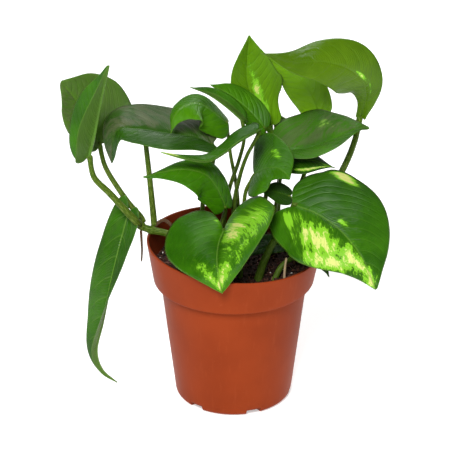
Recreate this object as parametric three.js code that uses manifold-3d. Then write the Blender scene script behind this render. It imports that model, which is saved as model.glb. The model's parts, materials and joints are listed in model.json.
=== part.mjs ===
// Potted golden pothos: a plastic nursery pot, its soil, and a plant of arching leaves on
// long stalks, one of which trails over the rim. Millimetres, +Z up. The centre of the
// pot's underside is the origin, and -Y is the side the pot is looked at from.
import * as THREE from 'three';
import { mergeVertices } from 'three/addons/utils/BufferGeometryUtils.js';
import Module from 'manifold-3d';

const wasm = await Module();
wasm.setup();
const { Manifold, Mesh: Solid } = wasm;

// ---- driving dimensions (mm) ----
const POT_HEIGHT = 100;         // underside to the top of the rim
const RIM_RADIUS = 52.5;        // outside of the rim at the top
const BAND_BOTTOM = 77.5;       // height where the thicker rim band starts
const BAND_RADIUS = 48.8;       // outside of the band at its lower edge
const NECK_RADIUS = 44.5;       // outside of the body just under the band
const BASE_RADIUS = 35.7;       // outside of the body at the bottom corner
const CORNER = 2.6;             // rounding of the bottom corner
const WALL = 1.3;               // wall of the pot
const FLOOR = 2.0;              // floor of the pot
const RIM_SAG = 0.06;           // how far the rim is pulled out of level, per mm sideways
const NOTCH_COUNT = 6;          // drain notches round the bottom corner
const NOTCH_WIDTH = 9;
const NOTCH_HEIGHT = 3.2;
const NOTCH_DEPTH = 7;
const NOTCH_FIRST = -70;        // bearing of the first notch, degrees from +X
const SOIL_TOP = 88;            // height of the soil surface
const SOIL_GAP = 0.4;           // gap between soil and pot, so that the two stay separate
const SOCKET_GAP = 0.35;        // gap round each stalk in its socket in the soil
const BLADE_THICKNESS = 0.8;    // leaf blades
const ROUND = 56;               // facets round the pot
const SIDES = 7;                // facets round a stem

// ---- outline of a flat pothos leaf: along the rib (0 joint, 1 tip) and across (1 = widest)
const MARGIN = [[0, 0], [-.07, .13], [-.12, .34], [-.09, .60], [.03, .83], [.18, .96], [.34, 1],
  [.50, .92], [.65, .72], [.78, .46], [.88, .23], [.95, .09], [1, 0]];

// ---- leaves: points along the rib from joint to tip, direction of the upper face at joint
// and tip, half widths, fold of each half toward the upper face at joint and tip (degrees),
// roll of each half toward its margin (degrees), length of each basal lobe, how much narrower
// the blade is near the joint (neck), and a power below 1 for a blunter tip (blunt). Pairs
// are the left half and the right half, seen from above with the tip away.
const LEAVES = {
  left_back: {
    rib: [[-81, 26, 154], [-88, 32, 166.5], [-95.5, 32, 181], [-103, 29, 192.5]],
    up: [[.35, -.8, .45], [.3, -.85, .4]], half: [16, 31],
    fold: [[30, 5], [-5, 5]], roll: [-10, -25], lobe: [.6, .4], blunt: .75,
  },
  left_folded: {
    rib: [[-86, 0, 157], [-82, -1, 172], [-77, -2, 195], [-72, -3, 216]],
    up: [[-1, 0, .1], [-1, 0, .2]], half: [18, 17],
    fold: [[58, 34], [48, 30]], roll: [5, 5], lobe: [.9, .3],
  },
  left_middle: {
    rib: [[-13, 4.5, 163], [-24, 4, 168], [-40, 2, 171.5], [-57, 0, 175], [-69, -1, 173],
      [-72, -3, 154]],
    up: [[0, 0, 1], [-.6, 0, .8]], half: [16, 28],
    fold: [[12, 26], [-32, 24]], roll: [-20, -18], lobe: [.3, .3], blunt: .75,
  },
  arching: {
    rib: [[-4, 18, 171], [-19, 11, 186], [-29, 3, 188], [-35, -2, 183], [-37, -5, 174]],
    up: [[.3, -.3, .9], [-.8, -.3, .5]], half: [15, 14],
    fold: [[-25, -5], [-25, -5]], roll: [-20, -20], lobe: [.5, .5],
  },
  pointed_left: {
    rib: [[5, 6, 178], [-5, 4, 188], [-15, 2, 196], [-25.5, 0, 201.3]],
    up: [[.6, -.3, .75], [.6, -.3, .75]], half: [6, 8],
    fold: [[60, 15], [55, 10]], roll: [5, 5], lobe: [.5, .5],
  },
  pointed_centre: {
    rib: [[18, 20, 167], [9, 20, 178], [-2, 17, 189], [-14, 13, 197.5]],
    up: [[.4, -.6, .7], [.4, -.5, .7]], half: [9, 12],
    fold: [[8, 5], [5, 5]], roll: [-15, -15], lobe: [.4, .4],
  },
  top_upright: {
    rib: [[22, 36, 162], [13, 37, 175], [8, 37, 190], [8, 37, 206], [9, 35, 220]],
    up: [[0, -.95, .3], [0, -.95, .3]], half: [14, 22],
    fold: [[40, 5], [35, 5]], roll: [0, -20], lobe: [.9, .3], neck: .5, blunt: .8,
  },
  curled_centre: {
    rib: [[12, 4, 144], [20, -5, 152], [27, -9, 153], [33, -14, 149]],
    up: [[-.2, 0, 1], [.2, 0, 1]], half: [23, 19],
    fold: [[42, -35], [42, -40]], roll: [22, -10], lobe: [.9, .6],
  },
  edge_on: {
    rib: [[13.9, -6, 176.5], [2.8, -13, 172.6], [-6.5, -17, 166.5], [-15.7, -20, 163],
      [-28.4, -23, 166], [-42.1, -26, 171.5]],
    up: [[0, .3, .95], [0, .32, .95]], half: [5, 8],
    fold: [[5, 52], [10, 30]], roll: [8, -15], lobe: [.5, .4],
  },
  right_dark: {
    rib: [[30, 16, 154], [46, 15, 156], [59, 15, 162], [71, 17, 166.5], [81, 21, 166]],
    up: [[-.1, 0, 1], [0, 0, 1]], half: [31, 18],
    fold: [[38, 14], [21, 16]], roll: [-18, -18], lobe: [1, 1],
  },
  right_under: {
    rib: [[31, 9, 149], [45, 8, 151], [60, 6, 147]],
    up: [[0, 0, 1], [0, 0, 1]], half: [12, 11],
    fold: [[5, -10], [5, -10]], roll: [-20, -20], lobe: [.2, .6],
  },
  front_right: {
    rib: [[35.5, -20, 135], [48.5, -30, 134], [61.5, -42, 129], [73.5, -52, 117], [81.5, -58, 99]],
    up: [[.2, -.75, .62], [.4, -.8, .4]], half: [38, 31],
    fold: [[0, 0], [0, 0]], roll: [-30, -20], lobe: [1, 1],
  },
  front_left: {
    rib: [[-6, -8, 113], [-9, -22, 111], [-10, -38, 109], [-9, -50, 104], [-7, -59, 97]],
    up: [[-.1, -.3, .95], [-.1, -.6, .8]], half: [44, 32],
    fold: [[53, 24], [30, 5]], roll: [-18, -22], lobe: [1.3, 1.3],
  },
  front_arching: {
    rib: [[-5, -4, 126], [-10, -8, 140], [-17, -12, 151], [-29, -16, 156], [-42, -20, 156],
      [-53, -22, 154]],
    up: [[.5, -.75, .4], [0, 0, 1]], half: [16, 15],
    fold: [[-8, -8], [-12, -12]], roll: [-20, -20], lobe: [.2, .5], neck: .35,
  },
  hanging: {
    rib: [[-63.5, 4, 117.5], [-67.3, 0, 104.2], [-71.1, -5, 90.4], [-76, -9, 70], [-80, -10, 50],
      [-84, -10, 31], [-81, -9, 17], [-72, -8, 7]],
    up: [[-.5, -.85, .1], [-.5, -.85, .1]], half: [11.5, 15],
    fold: [[0, 0], [125, 0]], roll: [10, -15], lobe: [.4, .7],
  },
  in_pot: {
    rib: [[33, -3, 101], [19, -10, 102], [6, -15, 98]],
    up: [[0, -.3, .95], [0, -.3, .95]], half: [6.5, 11],
    fold: [[5, 5], [5, 5]], roll: [-10, -10], lobe: [.4, .4],
  },
  shaded_centre: {
    rib: [[33, -4, 133], [25, -5, 136], [16, -7, 138]],
    up: [[0, -.4, .9], [0, -.4, .9]], half: [9, 9],
    fold: [[5, 0], [5, 0]], roll: [-10, -10], lobe: [.8, .8],
  },
  small_right: {
    rib: [[44, -20, 108], [50, -28, 105], [56, -35, 95]],
    up: [[.3, -.3, .9], [.5, -.5, .7]], half: [6, 6],
    fold: [[0, 0], [0, 0]], roll: [-10, -10], lobe: [.8, .8],
  },
  top_arching: {
    rib: [[76, 32, 168], [79, 30, 181], [77, 25, 193.5], [67, 18, 205.5], [52, 11, 212.5],
      [34, 6, 214.5], [15, 1, 222]],
    up: [[.1, -.95, .1], [0, -.6, .8]], half: [16.5, 18],
    fold: [[5, 10], [0, -10]], roll: [-20, -20], lobe: [0, 0], neck: .78,
  },
  top_under: {
    rib: [[52, 50, 164], [46, 50, 177], [36, 48, 190], [19, 42, 203]],
    up: [[-.2, -.8, .5], [-.2, -.8, .5]], half: [12, 11.5],
    fold: [[5, 5], [5, 5]], roll: [-15, -15], lobe: [.5, .5],
  },
  small_back: {
    rib: [[30, 44, 154], [29, 44, 160], [28, 42, 166]],
    up: [[0, -.8, .5], [0, -.8, .5]], half: [5, 5],
    fold: [[5, 5], [5, 5]], roll: [0, 0], lobe: [.8, .8],
  },
};

// ---- leaf stalks: points from under the leaf joint downward, radius at the leaf and at the
// foot; the ones marked soil end in a socket in the soil
const STALKS = {
  left_back: {
    path: [[-77, 20, 140], [-65, 12, 123], [-56.5, 7.5, 114]],
    radius: [1.4, 2],
  },
  left_folded: {
    path: [[-83, 0, 143.5], [-74, -1, 133.5], [-66, -2.5, 124.5], [-59.5, -3, 117]],
    radius: [1.6, 2.4],
  },
  left_middle: {
    path: [[-12, 8, 152], [-17, 8, 131], [-19, 9, 119], [-20, 10, 80]],
    radius: [1.1, 1.8], soil: true,
  },
  arching: {
    path: [[-2, 18, 150], [2, 16, 125], [4, 15, 80]],
    radius: [1, 1.5], soil: true,
  },
  pointed_left: {
    path: [[6, 8, 165], [3, 10, 150], [-4, 10, 125], [-9, 8, 80]],
    radius: [1, 1.6], soil: true,
  },
  pointed_centre: {
    path: [[18, 21, 155], [14, 19, 130], [10, 18, 80]],
    radius: [1, 1.6], soil: true,
  },
  top_upright: {
    path: [[23, 36, 146], [19, 32, 110], [15, 30, 80]],
    radius: [1.1, 1.6], soil: true,
  },
  curled_centre: {
    path: [[10, 4, 139], [7, 6, 131], [6, 7, 118], [6, 7, 80]],
    radius: [1.1, 1.6], soil: true,
  },
  edge_on: {
    path: [[12, -5, 169], [7, -4, 158], [3, 0, 142], [0, 6, 120], [0, 9, 80]],
    radius: [1, 1.6], soil: true,
  },
  right_dark: {
    path: [[28, 17, 140], [27, 16, 115], [26, 16, 80]],
    radius: [1.1, 1.6], soil: true,
  },
  right_under: {
    path: [[28, 8, 140], [25, 9, 118], [23, 9, 80]],
    radius: [1, 1.5], soil: true,
  },
  front_right: {
    path: [[33, -18, 121], [24, -18, 111], [17, -23, 97], [12, -27, 80]],
    radius: [1.7, 2.6], soil: true,
  },
  front_left: {
    path: [[-3, -3, 110], [2, -9, 106], [4, -20, 98], [3, -26, 80]],
    radius: [1.2, 1.8], soil: true,
  },
  front_arching: {
    path: [[-5, 5, 120], [-8, 2, 108], [-6, -12, 101], [-3, -24, 94], [-2, -28, 80]],
    radius: [1.1, 1.3], soil: true,
  },
  hanging: {
    path: [[-61.3, 5.6, 116.6], [-60.4, 4.6, 114]],
    radius: [1.4, 1.5],
  },
  in_pot: {
    path: [[38, -1, 96], [40, 1, 80]],
    radius: [.8, 1.1], soil: true,
  },
  shaded_centre: {
    path: [[36, 0, 122], [36.5, 4, 100], [31, 10, 80]],
    radius: [.9, 1.2], soil: true,
  },
  small_right: {
    path: [[38, -16, 100], [28, -20, 94], [21, -26, 80]],
    radius: [1.2, 2], soil: true,
  },
  top_arching: {
    path: [[73, 30, 154], [67, 26, 139], [55, 14, 121], [43, 8, 105], [37, 8, 80]],
    radius: [1.8, 2.7], soil: true,
  },
  top_under: {
    path: [[48, 45, 140], [39, 34, 115], [32, 25, 80]],
    radius: [1.1, 1.6], soil: true,
  },
  small_back: {
    path: [[28, 37, 130], [23, 29, 80]],
    radius: [.8, 1.2], soil: true,
  },
};

// ---- other stems: whole paths with no leaf at the top
const STEMS = {
  bare_stalk_tall: {
    path: [[-52.5, 8, 163], [-50.5, 8, 140], [-48.5, 7, 114]],
    radius: [1.6, 2.1],
  },
  sheath_node: {
    path: [[-45.5, 6, 110.5], [-42, 6.5, 112], [-38, 5, 109.5]],
    radius: [1, 1.3], colour: 'tan',
  },
  runner_vine: {
    path: [[-53, 3, 108], [-49, 2.5, 107.2], [-41, 1, 106], [-31, 0, 103], [-22, -1, 96], [-17, -2, 80]],
    radius: [2.2, 2], soil: true,
  },
  vine_node: {
    path: [[-58, 3, 111], [-56.4, 3.4, 110], [-55, 3.5, 109]],
    radius: [2.3, 2.7],
  },
  air_root: {
    path: [[-56, 0, 105.5], [-55.4, -3, 101], [-55.2, -6, 97], [-55.6, -7.5, 91]],
    radius: [.8, .5], colour: 'root',
  },
  sheath_stick: {
    path: [[31, -23, 102], [30, -24, 92], [30, -24, 80]],
    radius: [.7, .9], soil: true, colour: 'tan',
  },
};

// ---- vector and curve helpers ----
const add = (a, b, k = 1) => [a[0] + b[0] * k, a[1] + b[1] * k, a[2] + b[2] * k];
const sub = (a, b) => [a[0] - b[0], a[1] - b[1], a[2] - b[2]];
const dot = (a, b) => a[0] * b[0] + a[1] * b[1] + a[2] * b[2];
const cross = (a, b) => [a[1] * b[2] - a[2] * b[1], a[2] * b[0] - a[0] * b[2], a[0] * b[1] - a[1] * b[0]];
const length = (a) => Math.hypot(...a);
const unit = (a) => a.map((c) => c / (length(a) || 1));
const mix = (a, b, k) => a.map((c, i) => c + (b[i] - c) * k);
const radians = (d) => d * Math.PI / 180;

function curve(points, t) {
  const n = points.length - 1;
  const first = points[0].map((c, i) => 2 * c - points[1][i]);
  const last = points[n].map((c, i) => 2 * c - points[n - 1][i]);
  const all = [first, ...points, last];
  const x = Math.min(Math.max(t, 0), 1) * n;
  const i = Math.min(Math.floor(x), n - 1);
  const f = x - i;
  return all[i].map((a, k) => {
    const b = all[i + 1][k];
    const c = all[i + 2][k];
    const d = all[i + 3][k];
    const square = 2 * a - 5 * b + 4 * c - d;
    const cube = 3 * b - a - 3 * c + d;
    return .5 * (2 * b + (c - a) * f + square * f * f + cube * f ** 3);
  });
}
function heading(points, t) {
  return unit(sub(curve(points, Math.min(t + .001, 1)), curve(points, Math.max(t - .001, 0))));
}

function arcTable(points, steps = 100) {
  const at = [0];
  let p = curve(points, 0);
  for (let i = 1; i <= steps; i++) {
    const q = curve(points, i / steps);
    at.push(at[i - 1] + length(sub(q, p)));
    p = q;
  }
  return at;
}
function atLength(table, s) {
  let i = 1;
  while (i < table.length - 1 && table[i] < s) i++;
  return (i - 1 + (s - table[i - 1]) / (table[i] - table[i - 1])) / (table.length - 1);
}

// One point of a leaf blade. u runs from joint to tip along the margin, v from the left
// margin (-1) over the rib (0) to the right margin (+1).
function bladePoint(leaf, table, u, v) {
  const side = v > 0 ? 1 : 0;
  const sign = v > 0 ? 1 : -1;
  const a = Math.abs(v);
  const edge = curve(MARGIN, u);
  const along = edge[0] < 0 ? edge[0] * leaf.lobe[side] : edge[0];
  const rib = u ** 1.3;
  const p = rib + (along - rib) * a ** 1.4;
  const slim = Math.min(Math.max(p / .45, 0), 1);
  const open = Math.max(edge[1], 0);
  const width = edge[0] > .34 ? open ** (leaf.blunt || 1) : open;
  const q = width * a * (1 - (leaf.neck || 0) * (1 - slim * slim * (3 - 2 * slim)));
  const total = table[table.length - 1];
  const c = Math.min(Math.max(p, 0), 1);
  const t = atLength(table, c * total);
  const T = heading(leaf.rib, t);
  const M = add(curve(leaf.rib, t), T, Math.min(p, 0) * total);
  const wanted = mix(unit(leaf.up[0]), unit(leaf.up[1]), c);
  const U = unit(add(wanted, T, -dot(wanted, T)));
  const R = cross(T, U);
  const W = leaf.half[side];
  const fold = radians(leaf.fold[0][side] + (leaf.fold[1][side] - leaf.fold[0][side]) * c);
  const roll = radians(leaf.roll[side] || .1);
  const across = sign * W / roll * (Math.sin(fold + roll * q) - Math.sin(fold));
  const rise = -W / roll * (Math.cos(fold + roll * q) - Math.cos(fold));
  return add(add(M, R, across), U, rise);
}

// A leaf blade as a closed sheet: upper and lower skins joined round the margin.
function bladeSolid(leaf, rows = 12, halfColumns = 3) {
  const table = arcTable(leaf.rib);
  const columns = halfColumns * 2;
  const grid = [];
  for (let i = 0; i <= rows; i++) {
    const row = [];
    for (let j = 0; j <= columns; j++) {
      row.push(bladePoint(leaf, table, i / rows, j / halfColumns - 1));
    }
    grid.push(row);
  }
  const normal = (i, j) => {
    const n = unit(cross(sub(grid[Math.min(i + 1, rows)][j], grid[Math.max(i - 1, 0)][j]),
      sub(grid[i][Math.min(j + 1, columns)], grid[i][Math.max(j - 1, 0)])));
    return n.map((c) => -c);
  };
  const positions = [];
  const put = (p) => {
    positions.push(...p);
    return positions.length / 3 - 1;
  };
  const skins = [1, -1].map((way) => grid.map((row, i) => {
    if (i === 0 || i === rows) {
      const k = i === 0 ? 1 : rows - 1;
      const id = put(add(row[halfColumns], normal(k, halfColumns), -way * BLADE_THICKNESS / 2));
      return row.map(() => id);
    }
    return row.map((p, j) => put(add(p, normal(i, j), -way * BLADE_THICKNESS / 2)));
  }));
  const faces = [];
  const tri = (a, b, c) => {
    if (a !== b && b !== c && c !== a) faces.push(a, b, c);
  };
  const quad = (a, b, c, d) => {
    tri(a, b, c);
    tri(a, c, d);
  };
  const [s, b] = skins;
  for (let i = 0; i < rows; i++) {
    for (let j = 0; j < columns; j++) {
      quad(s[i][j], s[i][j + 1], s[i + 1][j + 1], s[i + 1][j]);
      quad(b[i][j], b[i + 1][j], b[i + 1][j + 1], b[i][j + 1]);
    }
    quad(s[i][0], s[i + 1][0], b[i + 1][0], b[i][0]);
    quad(s[i][columns], b[i][columns], b[i + 1][columns], s[i + 1][columns]);
  }
  return { positions, faces };
}

// A tapering round stem along a path, closed at both ends.
function stemSolid(path, radius, steps, sides = SIDES, extra = 0) {
  const positions = [];
  const faces = [];
  let side = Math.abs(heading(path, 0)[1]) < .9 ? [0, 1, 0] : [1, 0, 0];
  for (let i = 0; i <= steps; i++) {
    const t = i / steps;
    let c = curve(path, t);
    const T = heading(path, t);
    if (extra && i === steps) c = add(c, T, extra);
    if (extra && i === 0) c = add(c, T, -extra);
    side = unit(add(side, T, -dot(side, T)));
    const other = cross(T, side);
    const r = radius[0] + (radius[1] - radius[0]) * t + extra;
    for (let k = 0; k < sides; k++) {
      const a = 2 * Math.PI * k / sides;
      positions.push(...add(add(c, side, r * Math.cos(a)), other, r * Math.sin(a)));
    }
  }
  for (let i = 0; i < steps; i++) {
    for (let k = 0; k < sides; k++) {
      const n = (k + 1) % sides;
      const low = i * sides;
      const high = low + sides;
      faces.push(low + k, low + n, high + n);
      faces.push(low + k, high + n, high + k);
    }
  }
  const end = steps * sides;
  for (let k = 1; k < sides - 1; k++) {
    faces.push(0, k + 1, k);
    faces.push(end, end + k, end + k + 1);
  }
  return { positions, faces };
}

const signedVolume = ({ positions, faces }) => {
  let volume = 0;
  for (let i = 0; i < faces.length; i += 3) {
    const [a, b, c] = [0, 1, 2].map((k) => positions.slice(faces[i + k] * 3, faces[i + k] * 3 + 3));
    volume += dot(a, cross(b, c)) / 6;
  }
  return volume;
};

// Turns every face outward if the body came out inside out.
function outward(body) {
  if (signedVolume(body) >= 0) return body;
  const faces = [];
  for (let i = 0; i < body.faces.length; i += 3) {
    faces.push(body.faces[i], body.faces[i + 2], body.faces[i + 1]);
  }
  return { positions: body.positions, faces };
}

// A closed body from a three.js geometry: shared corners merged, collapsed faces dropped.
function bodyOf(geometry) {
  geometry.deleteAttribute('normal');
  geometry.deleteAttribute('uv');
  const merged = mergeVertices(geometry, 1e-4);
  const index = Array.from(merged.index.array);
  const faces = [];
  for (let i = 0; i < index.length; i += 3) {
    const [a, b, c] = index.slice(i, i + 3);
    if (a !== b && b !== c && c !== a) faces.push(a, b, c);
  }
  return outward({ positions: Array.from(merged.attributes.position.array), faces });
}

function toManifold(body) {
  const { positions, faces } = outward(body);
  return new Manifold(new Solid({
    numProp: 3, vertProperties: new Float32Array(positions), triVerts: new Uint32Array(faces) }));
}

function fromManifold(solid) {
  const { vertProperties, triVerts } = solid.getMesh();
  const geometry = new THREE.BufferGeometry();
  geometry.setAttribute('position', new THREE.BufferAttribute(vertProperties, 3));
  geometry.setIndex(new THREE.BufferAttribute(triVerts, 1));
  return bodyOf(geometry);
}

// A body turned about +Z from a profile of [radius, height] points that starts and ends on
// the axis.
function turned(profile, segments) {
  const lathe = new THREE.LatheGeometry(profile.map(([r, z]) => new THREE.Vector2(r, z)), segments);
  lathe.rotateX(Math.PI / 2);
  return bodyOf(lathe);
}

// ---- colours ----
const COLOURS = { pot: 0xa8482a, soil: 0x3a2722, leaf: 0x3f7d26, dark: 0x2c5a2e, light: 0x6f9f2c,
  stalk: 0x86a052, tan: 0xb49a6a, root: 0x6b4a34 };

const plant = new THREE.Group();
plant.name = 'potted_pothos';

function addMesh(name, body, colour) {
  const { positions, faces } = outward(body);
  const geometry = new THREE.BufferGeometry();
  geometry.setAttribute('position', new THREE.BufferAttribute(new Float32Array(positions), 3));
  geometry.setIndex(faces);
  geometry.computeVertexNormals();
  const surface = new THREE.MeshStandardMaterial({ color: colour, roughness: .6 });
  const mesh = new THREE.Mesh(geometry, surface);
  mesh.name = name;
  plant.add(mesh);
}

// ---- pot: a turned shell with a thicker rim band, the rim pulled slightly out of level ----
const outside = [[0, 0], [BASE_RADIUS - CORNER, 0], [BASE_RADIUS - .8, .8], [BASE_RADIUS, CORNER],
  [NECK_RADIUS - .4, BAND_BOTTOM - 3], [NECK_RADIUS, BAND_BOTTOM - 1.2],
  [BAND_RADIUS - 1, BAND_BOTTOM - .4], [BAND_RADIUS, BAND_BOTTOM + .6],
  [RIM_RADIUS - .5, POT_HEIGHT - 3], [RIM_RADIUS, POT_HEIGHT - 1.2], [RIM_RADIUS - .4, POT_HEIGHT]];
const inside = [[RIM_RADIUS - WALL - .1, POT_HEIGHT - .1], [RIM_RADIUS - WALL - .4, POT_HEIGHT - 3],
  [BAND_RADIUS - WALL, BAND_BOTTOM + 2.4], [NECK_RADIUS - WALL, BAND_BOTTOM + .6],
  [BASE_RADIUS - WALL, FLOOR + 2], [BASE_RADIUS - WALL - 2, FLOOR], [0, FLOOR]];
const shell = turned([...outside, ...inside], ROUND);
for (let i = 0; i < shell.positions.length; i += 3) {
  const height = (shell.positions[i + 2] - BAND_BOTTOM) / (POT_HEIGHT - BAND_BOTTOM);
  shell.positions[i + 2] -= RIM_SAG * shell.positions[i] * Math.min(Math.max(height, 0), 1);
}
let pot = toManifold(shell);
for (let i = 0; i < NOTCH_COUNT; i++) {
  const notch = new THREE.BoxGeometry(NOTCH_DEPTH, NOTCH_WIDTH, NOTCH_HEIGHT * 2);
  notch.translate(BASE_RADIUS - 1, 0, 0);
  notch.rotateZ(radians(NOTCH_FIRST + 360 / NOTCH_COUNT * i));
  pot = pot.subtract(toManifold(bodyOf(notch)));
}
addMesh('pot', fromManifold(pot), COLOURS.pot);

// ---- soil: fills the pot, with a socket for every stalk that enters it ----
const soilProfile = [[0, FLOOR + SOIL_GAP], [BASE_RADIUS - WALL - 2 - SOIL_GAP, FLOOR + SOIL_GAP],
  [BASE_RADIUS - WALL - SOIL_GAP, FLOOR + SOIL_GAP + 2],
  [NECK_RADIUS - WALL - SOIL_GAP, BAND_BOTTOM + .6 + SOIL_GAP],
  [BAND_RADIUS - WALL - SOIL_GAP - .2, BAND_BOTTOM + 2.9], [BAND_RADIUS - .8, SOIL_TOP - 1],
  [BAND_RADIUS - 3, SOIL_TOP], [20, SOIL_TOP + .6], [0, SOIL_TOP + .4]];
let soil = toManifold(turned(soilProfile, 48));

// ---- leaves and their stalks ----
const tint = { left_middle: 'dark', right_dark: 'dark', right_under: 'dark', in_pot: 'dark',
  shaded_centre: 'dark', left_back: 'dark', hanging: 'dark', top_arching: 'light',
  top_upright: 'light', top_under: 'light' };
for (const [name, leaf] of Object.entries(LEAVES)) {
  const long = leaf.rib.length > 5;
  const tiny = Math.max(...leaf.half) < 10;
  const rows = long ? 14 : tiny ? 8 : 12;
  addMesh('leaf_' + name, bladeSolid(leaf, rows, tiny ? 2 : 3), COLOURS[tint[name] || 'leaf']);
}
function addStem(name, stem, colour, steps) {
  addMesh(name, stemSolid(stem.path, stem.radius, steps), colour);
  if (stem.soil) {
    soil = soil.subtract(toManifold(stemSolid(stem.path, stem.radius, steps, SIDES, SOCKET_GAP)));
  }
}
for (const [name, stalk] of Object.entries(STALKS)) {
  const leaf = LEAVES[name];
  const T = heading(leaf.rib, 0);
  const U = unit(add(unit(leaf.up[0]), T, -dot(unit(leaf.up[0]), T)));
  const top = add(add(leaf.rib[0], T, -1), U, -(stalk.radius[0] + BLADE_THICKNESS / 2 + .5));
  const path = [top, ...stalk.path];
  addStem('stalk_' + name, { ...stalk, path }, COLOURS.stalk, path.length > 3 ? 9 : 6);
}
for (const [name, stem] of Object.entries(STEMS)) {
  addStem(name, stem, COLOURS[stem.colour || 'stalk'], 8);
}
addMesh('soil', fromManifold(soil), COLOURS.soil);

export default plant;
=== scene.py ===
# %% [markdown]
# A young golden pothos in its nursery pot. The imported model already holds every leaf, stalk,
# the pot and the soil as plain solids. This lesson replaces each of them with a finer surface
# in the same place, and gives each one the finish of the living plant: satin green blades with
# arching veins and lime marbling, pale grooved stalks, peat with perlite, and a moulded pot.

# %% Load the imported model
import json
import math

import bpy
import numpy as np
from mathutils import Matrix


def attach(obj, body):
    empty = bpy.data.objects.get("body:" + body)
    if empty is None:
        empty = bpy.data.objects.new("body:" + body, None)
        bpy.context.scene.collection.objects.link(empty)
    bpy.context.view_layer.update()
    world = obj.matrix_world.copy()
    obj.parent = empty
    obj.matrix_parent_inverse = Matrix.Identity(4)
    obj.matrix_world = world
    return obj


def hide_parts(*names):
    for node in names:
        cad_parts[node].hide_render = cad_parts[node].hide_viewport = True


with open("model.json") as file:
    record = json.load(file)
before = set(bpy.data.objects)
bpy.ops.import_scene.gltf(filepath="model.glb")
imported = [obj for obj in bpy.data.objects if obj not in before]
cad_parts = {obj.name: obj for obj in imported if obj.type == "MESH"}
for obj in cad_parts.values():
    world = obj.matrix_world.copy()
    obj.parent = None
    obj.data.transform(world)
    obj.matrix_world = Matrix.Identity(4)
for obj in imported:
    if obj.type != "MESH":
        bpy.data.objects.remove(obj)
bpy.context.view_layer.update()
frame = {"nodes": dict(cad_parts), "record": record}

MM = 0.001
print("solids in the frame:", len(frame["nodes"]))

# %% [markdown]
# The camera stands far away with a long lens, so the pot's sides stay nearly parallel. It looks
# down at a little more than a quarter of a right angle.

# %% Camera
LOOK_AT = np.array([-5.3, 0, 112]) * MM
LOOK_DOWN = math.radians(26.25)
CAMERA_DISTANCE = 1.2

camera_data = bpy.data.cameras.new("camera")
camera_data.lens = 160
camera_data.sensor_width = 36
camera = bpy.data.objects.new("camera", camera_data)
bpy.context.scene.collection.objects.link(camera)
camera.location = (LOOK_AT[0],
                   LOOK_AT[1] - CAMERA_DISTANCE * math.cos(LOOK_DOWN),
                   LOOK_AT[2] + CAMERA_DISTANCE * math.sin(LOOK_DOWN))
camera.rotation_euler = (math.pi / 2 - LOOK_DOWN, 0, 0)
bpy.context.scene.camera = camera
print("camera height in mm:", round(camera.location[2] / MM))

# %% [markdown]
# Light comes from square soft boxes: a strong key high on the left, a weaker fill on the right,
# and one behind that shines through the thin leaves. A dim white world fills the shadows.

# %% World and lights
WORLD_STRENGTH = 0.12


def area_light(name, place, aim, size, power):
    """A square soft box at place, turned so that its face looks at aim."""
    data = bpy.data.lights.new(name, "AREA")
    data.shape = "SQUARE"
    data.size = size
    data.energy = power
    lamp = bpy.data.objects.new(name, data)
    bpy.context.scene.collection.objects.link(lamp)
    lamp.location = place
    away = np.array(place) - np.array(aim)
    flat = math.hypot(away[0], away[1])
    lamp.rotation_euler = (math.atan2(flat, away[2]), 0, math.atan2(away[0], -away[1]))


area_light("key", (-0.25, -1.0, 1.15), (0, 0, 0.12), 0.5, 25)
area_light("fill", (0.95, -0.8, 0.6), (0, 0, 0.12), 0.8, 2)
area_light("back", (0.1, 0.8, 1.0), (0, 0, 0.15), 0.6, 9)

world = bpy.data.worlds.new("studio")
bpy.context.scene.world = world
world.use_nodes = True
world.node_tree.nodes["Background"].inputs["Color"].default_value = (1, 1, 1, 1)
world.node_tree.nodes["Background"].inputs["Strength"].default_value = WORLD_STRENGTH
bpy.context.scene.view_settings.view_transform = "Standard"

# %% [markdown]
# Materials are node trees, and most of a tree is arithmetic. A small class wraps a socket so
# that the arithmetic can be written as ordinary Python, and one method adds any other node.

# %% Shader arithmetic


class Value:
    """A socket that can be added, subtracted and multiplied like a number."""

    def __init__(self, shader, socket):
        self.shader = shader
        self.socket = socket

    def math(self, operation, *others):
        """A Math node on this value and the others, in order."""
        return self.shader.add("ShaderNodeMath", {"operation": operation}, dict(enumerate((self, *others))))

    def __add__(self, other):
        return self.math("ADD", other)

    __radd__ = __add__

    def __sub__(self, other):
        return self.math("SUBTRACT", other)

    def __rsub__(self, other):
        return self.math("MULTIPLY", -1).math("ADD", other)

    def __mul__(self, other):
        return self.math("MULTIPLY", other)

    __rmul__ = __mul__

    def __abs__(self):
        return self.math("ABSOLUTE")

    def fract(self):
        """What the value has above its whole part."""
        return self.math("FRACT")

    def sine(self):
        return self.math("SINE")

    def step(self, low, high):
        """0 below low, 1 above high, and a smooth rise between them."""
        settings = {"interpolation_type": "SMOOTHSTEP"}
        inputs = {"Value": self, "From Min": low, "From Max": high}
        return self.shader.add("ShaderNodeMapRange", settings, inputs)


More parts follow.
